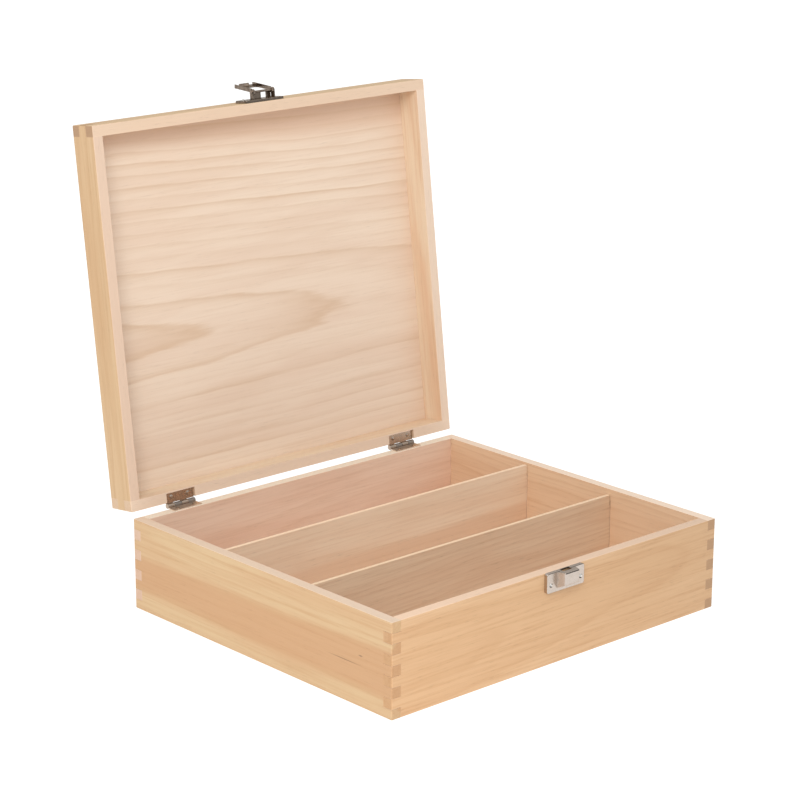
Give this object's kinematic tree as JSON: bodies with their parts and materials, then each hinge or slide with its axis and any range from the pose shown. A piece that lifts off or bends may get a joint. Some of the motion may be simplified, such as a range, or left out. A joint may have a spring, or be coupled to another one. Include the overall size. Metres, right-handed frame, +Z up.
{
  "type": "hinged compartment box",
  "caption": "Pale wooden box with finger-jointed corners, a hinged lid on stop hinges, a swinging front clasp and two captured dividers between long compartments.",
  "frame": {"origin": "centre of the base's underside, on the surface it stands on", "axes": "+X along the front towards the right end, -Y out of the front where the catch is, +Z up"},
  "size_m": [0.35, 0.3907, 0.3995],
  "materials": {
    "wood_board": "bare planed softwood, satin",
    "wood_panel": "bare planed softwood, matte",
    "wood_divider": "bare thin board, matte",
    "hinge_metal": "nickel-plated sheet steel",
    "clasp_metal": "nickel-plated sheet steel",
    "catch_metal": "bright nickel-plated sheet steel",
    "nail_metal": "polished nickel-plated steel"
  },
  "bodies": {
    "base": {"base_front_panel": "wood_board", "base_back_panel": "wood_board", "base_left_panel": "wood_board", "base_right_panel": "wood_board", "base_bottom_panel": "wood_panel", "hinge_left_base_leaf": "hinge_metal", "hinge_right_base_leaf": "hinge_metal", "hinge_base_nails": "nail_metal", "catch_plate": "catch_metal", "catch_plate_nails": "nail_metal"},
    "lid": {"lid_front_rail": "wood_board", "lid_back_rail": "wood_board", "lid_left_rail": "wood_board", "lid_right_rail": "wood_board", "lid_top_panel": "wood_panel", "hinge_left_lid_leaf": "hinge_metal", "hinge_right_lid_leaf": "hinge_metal", "hinge_left_pin": "hinge_metal", "hinge_right_pin": "hinge_metal", "hinge_lid_nails": "nail_metal", "clasp_plate": "clasp_metal", "clasp_plate_nails": "nail_metal", "clasp_pin": "clasp_metal"},
    "strap": {"clasp_strap": "clasp_metal"},
    "front_divider": {"divider_front": "wood_divider"},
    "rear_divider": {"divider_rear": "wood_divider"}
  },
  "joints": [
    {"name": "lid_hinge", "type": "hinge", "parent": "base", "child": "lid", "pos_m": [0, 0.158, 0.0775], "axis": [1, 0, 0], "range_deg": [0, 97]},
    {"name": "strap_hinge", "type": "hinge", "parent": "lid", "child": "strap", "pos_m": [0, 0.20015, 0.39614], "axis": [1, 0, 0], "range_deg": [0, 171]},
    {"name": "front_divider_lift", "type": "slide", "parent": "base", "child": "front_divider", "axis": [0, 0, 1], "range_m": [0, 0.0045]},
    {"name": "rear_divider_lift", "type": "slide", "parent": "base", "child": "rear_divider", "axis": [0, 0, 1], "range_m": [-0.003, 0.0015]}
  ]
}
